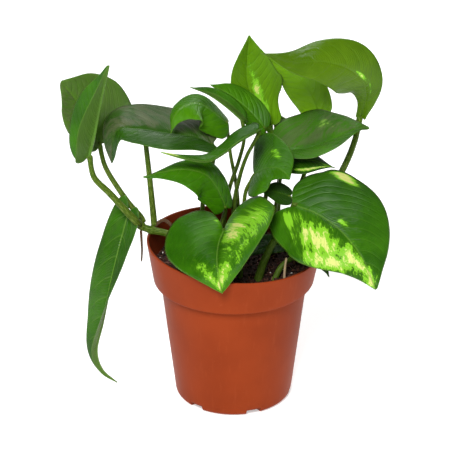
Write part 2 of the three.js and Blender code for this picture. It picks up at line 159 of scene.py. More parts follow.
class Shader:
    """A material's node tree around one Principled shader."""

    def __init__(self, name):
        self.material = bpy.data.materials.new(name)
        self.material.use_nodes = True
        self.tree = self.material.node_tree
        self.surface = self.tree.nodes["Principled BSDF"]

    def add(self, kind, settings=None, inputs=None, output=0):
        """Adds a node: settings first, then the value or link of each named socket."""
        node = self.tree.nodes.new(kind)
        for key, setting in (settings or {}).items():
            setattr(node, key, setting)
        for key, given in (inputs or {}).items():
            self.put(node.inputs[key], given)
        return Value(self, node.outputs[output])

    def put(self, socket, given):
        """Links a value to a socket, or sets the socket to a plain number or colour."""
        if isinstance(given, Value):
            self.tree.links.new(given.socket, socket)
        else:
            socket.default_value = given

    def attribute(self, name):
        """A number that the mesh stores at each of its points."""
        return self.add("ShaderNodeAttribute", {"attribute_name": name}, output="Fac")

    def mix(self, amount, first, second):
        """The first colour where amount is 0, the second where it is 1."""
        first = (*first, 1) if isinstance(first, tuple) else first
        second = (*second, 1) if isinstance(second, tuple) else second
        inputs = {0: amount, 6: first, 7: second}
        return self.add("ShaderNodeMix", {"data_type": "RGBA"}, inputs, output=2)

    def vector(self, x, y, z):
        """Three values as one vector, such as a place to look up noise at."""
        return self.add("ShaderNodeCombineXYZ", None, {0: x, 1: y, 2: z})

    def noise(self, where, scale, detail=2.0, roughness=0.5):
        """Soft random blotches from 0 to 1; scale is how many there are in a unit of where."""
        inputs = {"Vector": where, "Scale": scale, "Detail": detail, "Roughness": roughness}
        return self.add("ShaderNodeTexNoise", None, inputs)

    def place(self):
        """The place of a point on the object, in metres."""
        return self.add("ShaderNodeTexCoord", output="Object")

    def finish(self, **sockets):
        """Sets the shader's sockets. A name such as Base_Color means the socket Base Color."""
        for name, given in sockets.items():
            self.put(self.surface.inputs[name.replace("_", " ")], given)
        return self.material

    def bump(self, height, depth):
        """Turns a height into a bumped normal; depth is the height of 1, in metres."""
        inputs = {"Height": height, "Distance": depth, "Strength": 1.0}
        self.put(self.surface.inputs["Normal"], self.add("ShaderNodeBump", None, inputs))


print("shader arithmetic ready")

# %% [markdown]
# Nearly every surface here is a grid of points. One call turns a grid into a mesh, with a uv map
# and with numbers stored at its points. A second call gives the piece its material and the body
# that it rides on, and hides the imported solid that it stands for.

# %% Grids into meshes


def unit(v):
    """Vectors scaled to length one, along the last axis."""
    return v / np.maximum(np.linalg.norm(v, axis=-1, keepdims=True), 1e-12)


def grid_faces(rows, columns, closed=False):
    """Corner numbers of the quads between neighbouring grid points, row by row."""
    wrap = columns if closed else columns - 1
    i, j = np.meshgrid(np.arange(rows - 1), np.arange(wrap), indexing="ij")
    k = (j + 1) % columns
    quads = np.stack([i * columns + j, i * columns + k, (i + 1) * columns + k, (i + 1) * columns + j], -1)
    return quads.reshape(-1, 4)


def welded(points, faces, tolerance=1e-7):
    """Joins points that coincide, to a tolerance in metres, and drops the corners and faces
    that collapse with them."""
    keys = np.round(points / tolerance).astype(np.int64)
    _, first, where = np.unique(keys, axis=0, return_index=True, return_inverse=True)
    order = np.argsort(first)
    rank = np.empty(len(order), int)
    rank[order] = np.arange(len(order))
    faces = rank[where.reshape(-1)][faces]
    same = faces == np.roll(faces, -1, axis=1)
    kept = faces[same.sum(1) < 2]
    return first[order], [[c for n, c in enumerate(f) if f[n] != f[n - 1]] for f in kept.tolist()]


def outward(points, faces):
    """The faces, all turned round if they look inward. Each one makes a wedge with the origin,
    and the sum of the wedges' volumes is negative when the faces look inward."""
    a, b, c, d = (points[faces[:, k]] for k in range(4))
    volume = ((a * np.cross(b, c)).sum(1) + (a * np.cross(c, d)).sum(1)).sum() / 6
    return faces[:, ::-1] if volume < 0 else faces


def make_piece(name, points, faces, values=None, uv=None):
    """A smooth mesh object from points in metres, with named numbers and a uv at each point."""
    keep, corners = welded(points, faces)
    mesh = bpy.data.meshes.new(name)
    mesh.from_pydata(points[keep].tolist(), [], corners)
    mesh.polygons.foreach_set("use_smooth", np.ones(len(mesh.polygons), bool))
    for key, numbers in (values or {}).items():
        layer = mesh.attributes.new(key, "FLOAT", "POINT")
        layer.data.foreach_set("value", np.asarray(numbers, np.float32)[keep])
    if uv is not None:
        loops = np.empty(len(mesh.loops), int)
        mesh.loops.foreach_get("vertex_index", loops)
        layer = mesh.uv_layers.new(name="surface")
        layer.data.foreach_set("uv", np.asarray(uv, np.float32)[keep][loops].reshape(-1))
    mesh.validate()
    piece = bpy.data.objects.new(name, mesh)
    bpy.context.scene.collection.objects.link(piece)
    return piece


def settle(piece, material, slot, *nodes):
    """Gives a piece its finish and its body, and hides the solids that it stands for."""
    piece.data.materials.append(material)
    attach(piece, "root")
    if nodes:
        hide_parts(*nodes)


print("a strip of 3 by 4 points has", len(grid_faces(3, 4)), "faces")

# %% [markdown]
# Leaves and stalks follow curves through a few points. The curve used everywhere is the
# Catmull-Rom spline, which passes through its points, so a rib can be described by the places
# it visits between the joint and the tip.

# %% Curves


def curve(points, t):
    """Catmull-Rom: between two points, a cubic whose slope at each is half the way between
    that point's neighbours. t runs from 0 to 1 over the whole list."""
    p = np.asarray(points, float)
    last = len(p) - 1
    p = np.vstack([2 * p[0] - p[1], p, 2 * p[-1] - p[-2]])
    x = np.clip(np.asarray(t, float), 0, 1) * last
    i = np.minimum(x.astype(int), last - 1)
    f = (x - i)[..., None]
    a, b, c, d = p[i], p[i + 1], p[i + 2], p[i + 3]
    return 0.5 * (2 * b + (c - a) * f + (2 * a - 5 * b + 4 * c - d) * f**2 + (3 * b - a - 3 * c + d) * f**3)


def heading(points, t):
    """The curve's direction, from two places just before and after t."""
    return unit(curve(points, np.clip(t + 1e-3, 0, 1)) - curve(points, np.clip(t - 1e-3, 0, 1)))


def even(points, s):
    """The curve's t at a share s of its length, and that length."""
    t = np.linspace(0, 1, 201)
    steps = np.linalg.norm(np.diff(curve(points, t), axis=0), axis=1)
    run = np.concatenate([[0], np.cumsum(steps)])
    return np.interp(s * run[-1], run, t), run[-1]


print("middle of a straight curve:", curve([(0, 0), (1, 0), (2, 0)], np.array([0.5]))[0])

# %% [markdown]
# The leaves. Each one is described as a grower would: where its rib runs, which way its upper
# face looks at the joint and at the tip, how wide each half is, how far each half folds up
# from the rib, how it rolls toward its margin, how long its two lobes are, how much it narrows
# at the joint, and how blunt its tip is. Lengths are in millimetres and angles in degrees, and
# they repeat the ones that the solids were made from.

# %% Leaf descriptions
# Half of a flat blade, as shares of the rib's length and of the half's width.
OUTLINE = [(0, 0), (-.07, .13), (-.12, .34), (-.09, .60), (.03, .83), (.18, .96), (.34, 1),
           (.50, .92), (.65, .72), (.78, .46), (.88, .23), (.95, .09), (1, 0)]

LEAVES = {
    "left_back": dict(
        rib=[(-81, 26, 154), (-88, 32, 166.5), (-95.5, 32, 181), (-103, 29, 192.5)],
        up=[(.35, -.8, .45), (.3, -.85, .4)], half=(16, 31),
        fold=[(30, 5), (-5, 5)], roll=(-10, -25), lobe=(.6, .4), blunt=.75),
    "left_folded": dict(
        rib=[(-86, 0, 157), (-82, -1, 172), (-77, -2, 195), (-72, -3, 216)],
        up=[(-1, 0, .1), (-1, 0, .2)], half=(18, 17),
        fold=[(58, 34), (48, 30)], roll=(5, 5), lobe=(.9, .3)),
    "left_middle": dict(
        rib=[(-13, 4.5, 163), (-24, 4, 168), (-40, 2, 171.5), (-57, 0, 175), (-69, -1, 173), (-72, -3, 154)],
        up=[(0, 0, 1), (-.6, 0, .8)], half=(16, 28),
        fold=[(12, 26), (-32, 24)], roll=(-20, -18), lobe=(.3, .3), blunt=.75),
    "arching": dict(
        rib=[(-4, 18, 171), (-19, 11, 186), (-29, 3, 188), (-35, -2, 183), (-37, -5, 174)],
        up=[(.3, -.3, .9), (-.8, -.3, .5)], half=(15, 14),
        fold=[(-25, -5), (-25, -5)], roll=(-20, -20), lobe=(.5, .5)),
    "pointed_left": dict(
        rib=[(5, 6, 178), (-5, 4, 188), (-15, 2, 196), (-25.5, 0, 201.3)],
        up=[(.6, -.3, .75), (.6, -.3, .75)], half=(6, 8),
        fold=[(60, 15), (55, 10)], roll=(5, 5), lobe=(.5, .5)),
    "pointed_centre": dict(
        rib=[(18, 20, 167), (9, 20, 178), (-2, 17, 189), (-14, 13, 197.5)],
        up=[(.4, -.6, .7), (.4, -.5, .7)], half=(9, 12),
        fold=[(8, 5), (5, 5)], roll=(-15, -15), lobe=(.4, .4)),
    "top_upright": dict(
        rib=[(22, 36, 162), (13, 37, 175), (8, 37, 190), (8, 37, 206), (9, 35, 220)],
        up=[(0, -.95, .3), (0, -.95, .3)], half=(14, 22),
        fold=[(40, 5), (35, 5)], roll=(0, -20), lobe=(.9, .3), neck=.5, blunt=.8),
    "curled_centre": dict(
        rib=[(12, 4, 144), (20, -5, 152), (27, -9, 153), (33, -14, 149)],
        up=[(-.2, 0, 1), (.2, 0, 1)], half=(23, 19),
        fold=[(42, -35), (42, -40)], roll=(22, -10), lobe=(.9, .6)),
    "edge_on": dict(
        rib=[(13.9, -6, 176.5), (2.8, -13, 172.6), (-6.5, -17, 166.5), (-15.7, -20, 163),
             (-28.4, -23, 166), (-42.1, -26, 171.5)],
        up=[(0, .30, .95), (0, .32, .95)], half=(5, 8),
        fold=[(5, 52), (10, 30)], roll=(8, -15), lobe=(.5, .4)),
    "right_dark": dict(
        rib=[(30, 16, 154), (46, 15, 156), (59, 15, 162), (71, 17, 166.5), (81, 21, 166)],
        up=[(-.1, 0, 1), (0, 0, 1)], half=(31, 18),
        fold=[(38, 14), (21, 16)], roll=(-18, -18), lobe=(1, 1)),
    "right_under": dict(
        rib=[(31, 9, 149), (45, 8, 151), (60, 6, 147)],
        up=[(0, 0, 1), (0, 0, 1)], half=(12, 11),
        fold=[(5, -10), (5, -10)], roll=(-20, -20), lobe=(.2, .6)),
    "front_right": dict(
        rib=[(35.5, -20, 135), (48.5, -30, 134), (61.5, -42, 129), (73.5, -52, 117), (81.5, -58, 99)],
        up=[(.2, -.75, .62), (.4, -.8, .4)], half=(38, 31),
        fold=[(0, 0), (0, 0)], roll=(-30, -20), lobe=(1, 1)),
    "front_left": dict(
        rib=[(-6, -8, 113), (-9, -22, 111), (-10, -38, 109), (-9, -50, 104), (-7, -59, 97)],
        up=[(-.1, -.3, .95), (-.1, -.6, .8)], half=(44, 32),
        fold=[(53, 24), (30, 5)], roll=(-18, -22), lobe=(1.3, 1.3)),
    "front_arching": dict(
        rib=[(-5, -4, 126), (-10, -8, 140), (-17, -12, 151), (-29, -16, 156), (-42, -20, 156),
             (-53, -22, 154)],
        up=[(.5, -.75, .4), (0, 0, 1)], half=(16, 15),
        fold=[(-8, -8), (-12, -12)], roll=(-20, -20), lobe=(.2, .5), neck=.35),
    "hanging": dict(
        rib=[(-63.5, 4, 117.5), (-67.3, 0, 104.2), (-71.1, -5, 90.4), (-76, -9, 70), (-80, -10, 50),
             (-84, -10, 31), (-81, -9, 17), (-72, -8, 7)],
        up=[(-.5, -.85, .1), (-.5, -.85, .1)], half=(11.5, 15),
        fold=[(0, 0), (125, 0)], roll=(10, -15), lobe=(.4, .7), neck=0),
    "in_pot": dict(
        rib=[(33, -3, 101), (19, -10, 102), (6, -15, 98)],
        up=[(0, -.3, .95), (0, -.3, .95)], half=(6.5, 11),
        fold=[(5, 5), (5, 5)], roll=(-10, -10), lobe=(.4, .4)),
    "shaded_centre": dict(
        rib=[(33, -4, 133), (25, -5, 136), (16, -7, 138)],
        up=[(0, -.4, .9), (0, -.4, .9)], half=(9, 9),
        fold=[(5, 0), (5, 0)], roll=(-10, -10), lobe=(.8, .8)),
    "small_right": dict(
        rib=[(44, -20, 108), (50, -28, 105), (56, -35, 95)],
        up=[(.3, -.3, .9), (.5, -.5, .7)], half=(6, 6),
        fold=[(0, 0), (0, 0)], roll=(-10, -10), lobe=(.8, .8)),
    "top_arching": dict(
        rib=[(76, 32, 168), (79, 30, 181), (77, 25, 193.5), (67, 18, 205.5),
             (52, 11, 212.5), (34, 6, 214.5), (15, 1, 222)],
        up=[(.1, -.95, .1), (0, -.6, .8)], half=(16.5, 18),
        fold=[(5, 10), (0, -10)], roll=(-20, -20), lobe=(0, 0), neck=.78),
    "top_under": dict(
        rib=[(52, 50, 164), (46, 50, 177), (36, 48, 190), (19, 42, 203)],
        up=[(-.2, -.8, .5), (-.2, -.8, .5)], half=(12, 11.5),
        fold=[(5, 5), (5, 5)], roll=(-15, -15), lobe=(.5, .5)),
    "small_back": dict(
        rib=[(30, 44, 154), (29, 44, 160), (28, 42, 166)],
        up=[(0, -.8, .5), (0, -.8, .5)], half=(5, 5),
        fold=[(5, 5), (5, 5)], roll=(0, 0), lobe=(.8, .8)),
}
print("leaves described:", len(LEAVES))

# %% [markdown]
# A blade is a bent sheet. Rows of the grid follow the veins: each row starts on the rib and
# ends on the margin, a little further toward the joint, so the vein relief and the marbling
# can later follow the rows. Each half leaves the rib at its fold angle and rolls on an arc.

# %% The bent blade
ROW_START = 1.3      # power that crowds the rows' starts toward the joint
ROW_SWEEP = 1.4      # power that bends a row toward its end on the margin
NECK_END = .45       # share of the rib where a narrow neck reaches the full width
WIDEST = .34         # share of the rib where the outline is widest
LEAST_ROLL = .1      # degrees, so that a half with no roll still has an arc


def blade(leaf, u, v):
    """u runs from joint to tip, v from the left margin (-1) over the rib (0) to the right (+1).
    A flat place (along, across) is bent by walking along the rib, then across on an arc that
    starts at the fold angle. Returns the points, the face's up, the mm from the rib and the
    share of the rib's length."""
    side = (v > 0).astype(int)
    out = np.abs(v)
    edge = curve(OUTLINE, u)
    lobe = np.array(leaf["lobe"])[side]
    reach = np.where(edge[..., 0] < 0, edge[..., 0] * lobe, edge[..., 0])
    start = u**ROW_START
    along = start + (reach - start) * out**ROW_SWEEP
    slim = np.clip(along / NECK_END, 0, 1)
    slim = 1 - leaf.get("neck", 0) * (1 - slim**2 * (3 - 2 * slim))
    width = np.maximum(edge[..., 1], 0)
    width = np.where(edge[..., 0] > WIDEST, width ** leaf.get("blunt", 1), width)
    across = width * out * slim
    share = np.clip(along, 0, 1)
    t, length = even(leaf["rib"], share)
    forward = heading(leaf["rib"], t)
    rib = curve(leaf["rib"], t) + np.minimum(along, 0)[..., None] * length * forward
    first, last = (unit(np.array(d, float)) for d in leaf["up"])
    up = first + (last - first) * share[..., None]
    up = unit(up - (up * forward).sum(-1, keepdims=True) * forward)
    right = np.cross(forward, up)
    half = np.array(leaf["half"], float)[side]
    fold = np.radians(leaf["fold"])
    fold = fold[0][side] + (fold[1] - fold[0])[side] * share
    roll = np.radians([r or LEAST_ROLL for r in leaf["roll"]])[side]
    sideways = np.where(side > 0, 1, -1) * half / roll * (np.sin(fold + roll * across) - np.sin(fold))
    rise = -half / roll * (np.cos(fold + roll * across) - np.cos(fold))
    points = rib + sideways[..., None] * right + rise[..., None] * up
    return points, up, half * across, along


u, v = np.meshgrid(np.linspace(0, 1, 5), np.linspace(-1, 1, 5), indexing="ij")
print("widest reach of the front leaf in mm:", round(blade(LEAVES["front_right"], u, v)[2].max(), 1))

# %% [markdown]
# A living blade isn't smooth. The rib is a groove above and a ridge below, the tissue swells
# between the main veins, the margin waves a little, and the blade thins toward its edge.
# These are true changes of shape, so they also show from the side.

# %% A leaf's mesh
VEINS = 9                 # main veins in each half
BLADE_THICKNESS = 0.55    # mm
SWELL = 0.34              # mm, how far the tissue rises between two veins
GROOVE = 0.45             # mm, depth of the rib's groove
RIDGE = 1.1               # mm, height of the rib under the blade at the joint
WAVE = 1.1                # mm, rise of the margin's longest wave
WAVE_TURNS = (1.0, 1.9, 3.3)
FULL_HALF = 30            # mm, half width of a blade that has these full reliefs
FULL_GRID = (90, 26)      # rows, and columns in each half
SMALL_GRID = (40, 12)
SMALL_HALF = 10           # mm, half width below which a blade gets the small grid
PLAIN = -1.6              # the marbling's number where no patch reaches


def twice(numbers):
    """The same numbers for the upper and the lower skin."""
    return np.concatenate([numbers.ravel(), numbers.ravel()])


def leaf_piece(name, leaf, patches=(), painted_sheen=(0, 0), swell=1.0):
    """Upper and lower skins offset from the bent blade along its normal and joined at the
    margin, where the thickness falls to nothing."""
    rows, columns = SMALL_GRID if max(leaf["half"]) < SMALL_HALF else FULL_GRID
    rng = np.random.default_rng(sum(map(ord, name)))
    s = np.linspace(-1, 1, 2 * columns + 1)
    u, v = np.meshgrid(np.linspace(0, 1, rows + 1), np.sign(s) * np.abs(s) ** 1.35, indexing="ij")
    points, up, across, along = blade(leaf, u, v)
    out = np.abs(v)
    size = max(leaf["half"]) / FULL_HALF
    for turns in WAVE_TURNS:
        phase = rng.uniform(0, 2 * np.pi, 2)
        lift = np.sin(2 * np.pi * turns * u + np.where(v > 0, *phase)) * out**2
        points = points + (size * WAVE / turns * lift)[..., None] * up
    normal = unit(np.cross(np.gradient(points, axis=1), np.gradient(points, axis=0)))
    normal[0] = normal[1]
    normal[-1] = normal[-2]
    normal = normal * np.sign((normal * up).sum(-1, keepdims=True).mean())
    room = np.sin(np.pi * np.clip(u, 0, 1)) ** .5 * np.clip(out * 4, 0, 1) * (1 - out**6)
    vein = along - across / even(leaf["rib"], np.array([1.0]))[1] * (.45 + .9 * out)
    between = np.abs(np.sin(np.pi * VEINS * vein)) ** .8
    relief = SWELL * swell * size**.5 * room * between
    relief = relief - GROOVE * size**.5 * np.exp(-(across / (.9 * size + .2)) ** 2) * (1 - u) ** .4
    half_thick = BLADE_THICKNESS / 2 * np.sqrt(1 - out**8)
    ridge = (RIDGE * size**.5 * (1 - u) ** .8 + .1) * np.exp(-(across / (1.1 * size + .3)) ** 2)
    upper = points + (relief + half_thick)[..., None] * normal
    lower = points + (relief - half_thick - ridge)[..., None] * normal
    for end in (0, -1):
        upper[end] = upper[end, columns]
        lower[end] = lower[end, columns]
    count = u.size
    faces = grid_faces(*u.shape)
    faces = np.vstack([faces, faces[:, ::-1] + count])
    n = u.shape[1]
    i = np.arange(rows)
    left = np.stack([i * n, (i + 1) * n, (i + 1) * n + count, i * n + count], -1)
    right = np.stack([i * n + n - 1, i * n + n - 1 + count, (i + 1) * n + n - 1 + count,
                      (i + 1) * n + n - 1], -1)
    faces = np.vstack([faces, left, right])
    marbled = np.full(u.shape, PLAIN)
    for at_u, at_v, wide_u, wide_v, amount in patches:
        near = np.exp(-((u - at_u) / wide_u) ** 2 - ((v - at_v) / wide_v) ** 2)
        marbled = np.maximum(marbled, PLAIN + (1 - PLAIN) * amount * near)
    # Painted sheen: how strongly a grey reflection is painted on each half, none on the rib itself.
    grey = np.where(v < 0, painted_sheen[0], painted_sheen[1]) * np.clip(out * 6, 0, 1)
    values = {"from_rib": twice(across), "marbled": twice(marbled), "painted_sheen": twice(grey),
              "vein": twice(vein), "under": np.repeat([0.0, 1.0], count)}
    uv = np.stack([twice(u), twice(v * .5 + .5)], -1)
    skin = np.vstack([upper.reshape(-1, 3), lower.reshape(-1, 3)]) * MM
    return make_piece(name, skin, outward(skin, faces), values, uv)


print("rows, and columns in each half, of a full-size leaf:", FULL_GRID)

# %% [markdown]
# A leaf's finish. The blade is satin, not glossy, and a little light passes through it, so it
# has a low specular level and some subsurface light. Green deepens away from the veins, and fine
# side veins run with the rows. Marbling follows them too, as streaks that turn lime and then
# cream.

# %% Leaf finish
VEIN_GREEN = (.13, .26, .03)
PALE_GREEN = (.075, .235, .005)
LIME = (.20, .50, .020)
CREAM = (.62, .66, .19)
UNDERSIDE = (.11, .20, .035)
# The grey of the painted sheen, a reflection of the soft boxes painted onto some blades.
SHEEN_GREY = (.100, .105, .055)
TURN = 6.283              # radians
LINES_PER_VEIN = 7


def leaf_finish(name, deep, bright, ribs, seed):
    """Deep and bright are the greens between and near the veins; ribs is how pale they are."""
    s = Shader("leaf_" + name)
    uv = s.add("ShaderNodeUVMap", {"uv_map": "surface"})
    v = s.add("ShaderNodeSeparateXYZ", None, {0: uv}, output=1)
    out = abs(v * 2 - 1)
    rib = abs(s.attribute("from_rib"))
    under = s.attribute("under")
    label = s.attribute("vein")
    cloud = s.noise(s.place(), 42, 3)
    blotch = s.noise(s.place(), 230, 2)
    near_vein = abs((label * VEINS + .5).fract() * 2 - 1)
    vein_line = (1 - near_vein.step(0, .14)) * (1 - out.step(.45, .9)) * out.step(.01, .08)
    wobble = s.noise(s.vector(label * 6, v * 9, seed), 1, 2)
    fine = ((label * VEINS * LINES_PER_VEIN + wobble * 3) * TURN).sine() * .5 + .5
    # The greens: cloudy, with fine lines along the rows, dark blotches and pale main veins.
    colour = s.mix(cloud.step(.3, .7), deep, bright)
    colour = s.mix(fine * .3, colour, bright)
    colour = s.mix(blotch.step(.35, .8) * .3, colour, deep)
    colour = s.mix(vein_line * ribs * .4, colour, VEIN_GREEN)
    # Marbling: the patches broken up by streaks along the rows and by small flecks.
    streak = s.noise(s.vector(label * 11, v * 6, seed + 3.1), 1, 6, .75)
    fleck = s.noise(s.vector(label * 42, v * 34, seed + 8.4), 1, 3, .6)
    amount = s.attribute("marbled") * .42 + streak * 2.2 + fleck * .7 - 1.45
    colour = s.mix(amount.step(-.34, .05) * .55, colour, PALE_GREEN)
    colour = s.mix(amount.step(-.04, .10), colour, LIME)
    colour = s.mix(amount.step(.30, .50), colour, CREAM)
    # The rib, the thin margin, a painted sheen (a grey reflection of the soft boxes), and the paler
    # underside.
    colour = s.mix((1 - rib.step(.2, .7)) * ribs, colour, VEIN_GREEN)
    colour = s.mix(out.step(.955, .99) * .55, colour, VEIN_GREEN)
    # Painted sheen: grey reflection streaks along the rows, on the upper skin only.
    sheen = s.attribute("painted_sheen") * (fine * .3 + streak.step(.44, .56) * .7) * (1 - under)
    colour = s.mix(sheen * .85, colour, SHEEN_GREY)
    colour = s.mix(under * .6, colour, UNDERSIDE)
    s.bump(fine * .6 + blotch * .5 + near_vein.step(0, .3) * .7, .0002)
    rough = cloud * .1 + sheen * .14 + under * .14 + .24
    return s.finish(Base_Color=colour, Roughness=rough, Subsurface_Weight=.08,
                    Subsurface_Radius=(.5, 1.0, .2), Subsurface_Scale=.0012,
                    Specular_IOR_Level=.14)


print("fine lines in each half of a blade:", VEINS * LINES_PER_VEIN)

# %% [markdown]
# No two leaves of a pothos look the same. Each one gets a pair of greens, deep and bright, and
# its own strength of ribs, swell between the veins, and painted grey sheen, a painted reflection
# of the soft boxes, on the left and right half.
# A patch of marbling is a soft spot: its place along and across the blade, its two sizes, and
# its strength.

# %% Looks of the leaves
GREENS = {
    "middle": ((.018, .084, .001), (.048, .185, .002)),
    "deep": ((.012, .066, .001), (.036, .140, .002)),
    "dark": ((.010, .050, .001), (.024, .088, .003)),
    "grey": ((.052, .130, .008), (.090, .200, .020)),
    "bright": ((.026, .115, .001), (.066, .225, .002)),
    "lively": ((.016, .088, .001), (.050, .190, .002)),
    # pale: painted light; a green brightened to make up for the shade that the top_under leaf sits in.
    "pale": ((.120, .290, .003), (.175, .380, .006)),
    "fresh": ((.070, .180, .001), (.110, .260, .003)),
    "olive": ((.050, .118, .001), (.080, .170, .002)),
}
# A look's pair of sheen strengths paints a grey reflection of the soft boxes on its left and right half.
LOOKS = {
    "left_back": dict(green="grey", painted_sheen=(.6, .3), ribs=.3),
    "left_folded": dict(green="middle", ribs=.3),
    "left_middle": dict(green="dark", painted_sheen=(0, .85), swell=1.6, ribs=.1),
    "arching": dict(green="bright", ribs=.35),
    "pointed_left": dict(green="middle", ribs=.3),
    "pointed_centre": dict(green="bright", ribs=.3),
    "top_upright": dict(green="fresh", ribs=.2, patches=[(.5, .22, .25, .18, .95), (.3, .4, .14, .16, .8)]),
    "curled_centre": dict(green="middle", ribs=.2, patches=[(.62, -.45, .16, .25, .6)]),
    "edge_on": dict(green="deep", patches=[(.93, 0, .12, 1.2, 1.7), (.4, -.5, .2, .3, .8)]),
    "right_dark": dict(green="middle", painted_sheen=(.7, .3), ribs=.15, patches=[(.6, -.5, .12, .2, .6)]),
    "right_under": dict(green="dark", patches=[(.6, .75, .4, .12, 1.2), (.85, .3, .1, .4, .8)]),
    "front_right": dict(green="deep", ribs=.4,
                        patches=[(.50, .42, .28, .34, 1.05), (.76, .36, .18, .40, 1.1),
                                 (.22, .5, .14, .3, .8), (.40, -.88, .05, .10, 1.45),
                                 (.66, .75, .18, .3, 1.1),
                                 (.5, -.12, .07, .08, .8), (.92, .25, .10, .9, 1.2)]),
    "front_left": dict(green="lively", ribs=.6,
                       patches=[(.42, -.35, .28, .34, 1.1), (.84, -.25, .16, .5, 1.0),
                                (.93, .3, .09, .5, 1.1), (.12, .7, .08, .3, .7),
                                (.08, -.85, .08, .2, .9), (.50, -.7, .3, .3, .85),
                                (.8, .5, .16, .3, .9), (.2, -.4, .2, .3, .6)]),
    "front_arching": dict(green="middle", ribs=.45),
    "hanging": dict(green="deep", painted_sheen=(.15, .15), ribs=.7),
    "in_pot": dict(green="dark", ribs=.2),
    "shaded_centre": dict(green="dark", ribs=.2),
    "small_right": dict(green="dark", ribs=.2),
    "top_arching": dict(green="olive", swell=.6, ribs=.1,
                        patches=[(.42, .12, .08, .10, .85), (.36, .3, .06, .08, .7)]),
    "top_under": dict(green="pale", swell=.8, ribs=.15),
    "small_back": dict(green="grey"),
}
print("leaves with marbling:", sum("patches" in look for look in LOOKS.values()))

# %% [markdown]
# Every leaf is made by the same two functions, and only its description and its look differ.
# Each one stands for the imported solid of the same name.

# %% Leaves
slots = {part["node"]: part["material_slot"] for part in frame["record"]["subparts"]}
for number, (name, leaf) in enumerate(LEAVES.items()):
    look = LOOKS[name]
    piece = leaf_piece("blade_" + name, leaf, look.get("patches", ()), look.get("painted_sheen", (0, 0)),
                       swell=look.get("swell", 1.0))
    finish = leaf_finish(name, *GREENS[look["green"]], ribs=look.get("ribs", .5), seed=number * 1.7)
    settle(piece, finish, slots["leaf_" + name], "leaf_" + name)
print("blades made:", len(LEAVES))

# %% [markdown]
# Stalks. A pothos stalk is a soft rod with a shallow groove on its upper side, a slightly
# swollen joint just under the blade, and a sheath that clasps it lower down. A profile carried
# along the path gives all three: a dent round one side makes the groove, a knob makes the
# joint, and the radius grows toward the foot for the sheath.

# %% Stalk descriptions
STALKS = {
    "left_back": dict(path=[(-77, 20, 140), (-65, 12, 123), (-56.5, 7.5, 114)], radius=(1.4, 2.0)),
    "left_folded": dict(path=[(-83, 0, 143.5), (-74, -1, 133.5), (-66, -2.5, 124.5), (-59.5, -3, 117)],
                        radius=(1.6, 2.4)),
    "left_middle": dict(path=[(-12, 8, 152), (-17, 8, 131), (-19, 9, 119), (-20, 10, 80)],
                        radius=(1.1, 1.8)),
    "arching": dict(path=[(-2, 18, 150), (2, 16, 125), (4, 15, 80)], radius=(1.0, 1.5)),
    "pointed_left": dict(path=[(6, 8, 165), (3, 10, 150), (-4, 10, 125), (-9, 8, 80)],
                         radius=(1.0, 1.6)),
    "pointed_centre": dict(path=[(18, 21, 155), (14, 19, 130), (10, 18, 80)], radius=(1.0, 1.6)),
    "top_upright": dict(path=[(23, 36, 146), (19, 32, 110), (15, 30, 80)], radius=(1.1, 1.6)),
    "curled_centre": dict(path=[(10, 4, 139), (7, 6, 131), (6, 7, 118), (6, 7, 80)], radius=(1.1, 1.6)),
    "edge_on": dict(path=[(12, -5, 169), (7, -4, 158), (3, 0, 142), (0, 6, 120), (0, 9, 80)],
                    radius=(1.0, 1.6)),
    "right_dark": dict(path=[(28, 17, 140), (27, 16, 115), (26, 16, 80)], radius=(1.1, 1.6)),
    "right_under": dict(path=[(28, 8, 140), (25, 9, 118), (23, 9, 80)], radius=(1.0, 1.5)),
    "front_right": dict(path=[(33, -18, 121), (24, -18, 111), (17, -23, 97), (12, -27, 80)],
                        radius=(1.7, 2.6)),
    "front_left": dict(path=[(-3, -3, 110), (2, -9, 106), (4, -20, 98), (3, -26, 80)],
                       radius=(1.2, 1.8)),
    "front_arching": dict(path=[(-5, 5, 120), (-8, 2, 108), (-6, -12, 101), (-3, -24, 94), (-2, -28, 80)],
                          radius=(1.1, 1.3)),
    "hanging": dict(path=[(-61.3, 5.6, 116.6), (-60.4, 4.6, 114)], radius=(1.4, 1.5)),
    "in_pot": dict(path=[(38, -1, 96), (40, 1, 80)], radius=(.8, 1.1)),
    "shaded_centre": dict(path=[(36, 0, 122), (36.5, 4, 100), (31, 10, 80)], radius=(.9, 1.2)),
    "small_right": dict(path=[(38, -16, 100), (28, -20, 94), (21, -26, 80)], radius=(1.2, 2.0)),
    "top_arching": dict(path=[(73, 30, 154), (67, 26, 139), (55, 14, 121), (43, 8, 105), (37, 8, 80)],
                        radius=(1.8, 2.7)),
    "top_under": dict(path=[(48, 45, 140), (39, 34, 115), (32, 25, 80)], radius=(1.1, 1.6)),
    "small_back": dict(path=[(28, 37, 130), (23, 29, 80)], radius=(.8, 1.2)),
}
STEMS = {
    "bare_stalk_tall": dict(path=[(-52.5, 8, 163), (-50.5, 8, 140), (-48.5, 7, 114), (-48, 5, 108)],
                            radius=(1.6, 2.1)),
    "sheath_node": dict(path=[(-48, 5, 108), (-45.5, 6, 110.5), (-42, 6.5, 112), (-38, 5, 109.5),
                              (-36, 1, 106)],
                        radius=(1.2, 1)),
    "runner_vine": dict(path=[(-55.5, 3.5, 109), (-49, 2.5, 107.2), (-41, 1, 106), (-31, 0, 103),
                              (-22, -1, 96), (-17, -2, 80)],
                        radius=(2.2, 2)),
    "vine_node": dict(path=[(-58.5, 3, 111.5), (-56.4, 3.4, 110), (-54, 3.5, 108.5)],
                      radius=(2.3, 2.7)),
    "air_root": dict(path=[(-56, 2, 108), (-55.4, -3, 101), (-55.2, -6, 97), (-55.6, -7.5, 91)],
                     radius=(0.9, 0.5)),
    "sheath_stick": dict(path=[(31, -23, 102), (30, -24, 92), (30, -24, 80)], radius=(.7, .9)),
}
